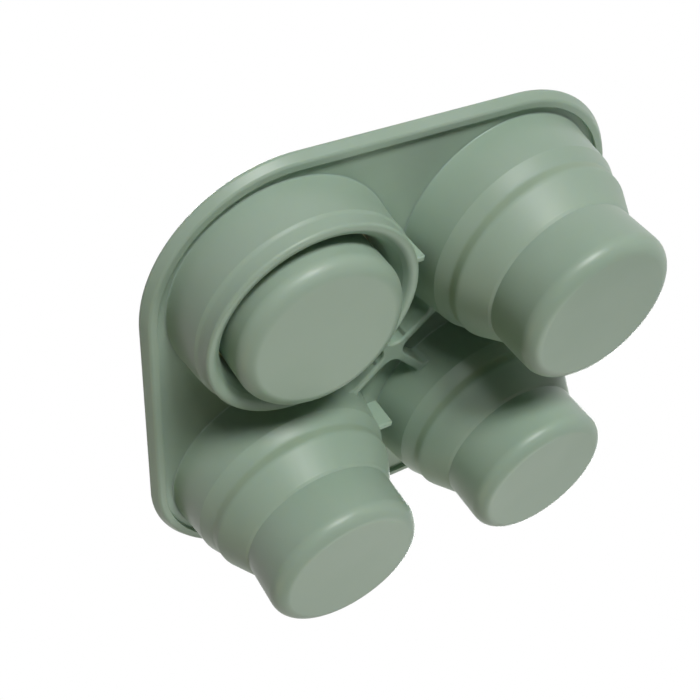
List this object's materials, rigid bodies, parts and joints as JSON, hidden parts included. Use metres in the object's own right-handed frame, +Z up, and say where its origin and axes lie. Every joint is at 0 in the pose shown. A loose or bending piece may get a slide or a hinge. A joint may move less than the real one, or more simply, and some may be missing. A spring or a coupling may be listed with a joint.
{
  "type": "baby food freezer tray",
  "caption": "Soft square freezer tray with round collapsible cups that pop out of a rimmed deck and push back in to eject frozen portions.",
  "frame": {"origin": "on the supporting surface, under the middle of the tray", "axes": "+Z up, from the cup bottoms to the open deck; +X and +Y along the tray's sides, towards its right and back"},
  "size_m": [0.166, 0.166, 0.0549],
  "materials": {
    "sage_silicone": "satin"
  },
  "bodies": {
    "tray": {"deck_plate": "sage_silicone", "rim_bead": "sage_silicone", "collar_front_left": "sage_silicone", "fold_ring_front_left": "sage_silicone", "collar_front_right": "sage_silicone", "fold_ring_front_right": "sage_silicone", "collar_back_left": "sage_silicone", "fold_ring_back_left": "sage_silicone", "collar_back_right": "sage_silicone", "fold_ring_back_right": "sage_silicone", "centre_boss": "sage_silicone", "rib_front_left": "sage_silicone", "rib_front_right": "sage_silicone", "rib_back_left": "sage_silicone", "rib_back_right": "sage_silicone", "spacer_lug_front_left": "sage_silicone", "spacer_lug_back_left": "sage_silicone"},
    "front_left_base": {"cup_base_front_left": "sage_silicone"},
    "front_right_base": {"cup_base_front_right": "sage_silicone"},
    "back_left_base": {"cup_base_back_left": "sage_silicone"},
    "back_right_base": {"cup_base_back_right": "sage_silicone"}
  },
  "joints": [
    {"name": "front_left_cup_fold", "type": "slide", "parent": "tray", "child": "front_left_base", "axis": [0, 0, 1], "range_m": [-0.0262, 0], "deforming": ["fold_ring_front_left"]},
    {"name": "front_right_cup_fold", "type": "slide", "parent": "tray", "child": "front_right_base", "axis": [0, 0, 1], "range_m": [0, 0.0262], "deforming": ["fold_ring_front_right"]},
    {"name": "back_left_cup_fold", "type": "slide", "parent": "tray", "child": "back_left_base", "axis": [0, 0, 1], "range_m": [0, 0.0262], "deforming": ["fold_ring_back_left"]},
    {"name": "back_right_cup_fold", "type": "slide", "parent": "tray", "child": "back_right_base", "axis": [0, 0, 1], "range_m": [0, 0.0262], "deforming": ["fold_ring_back_right"]}
  ]
}
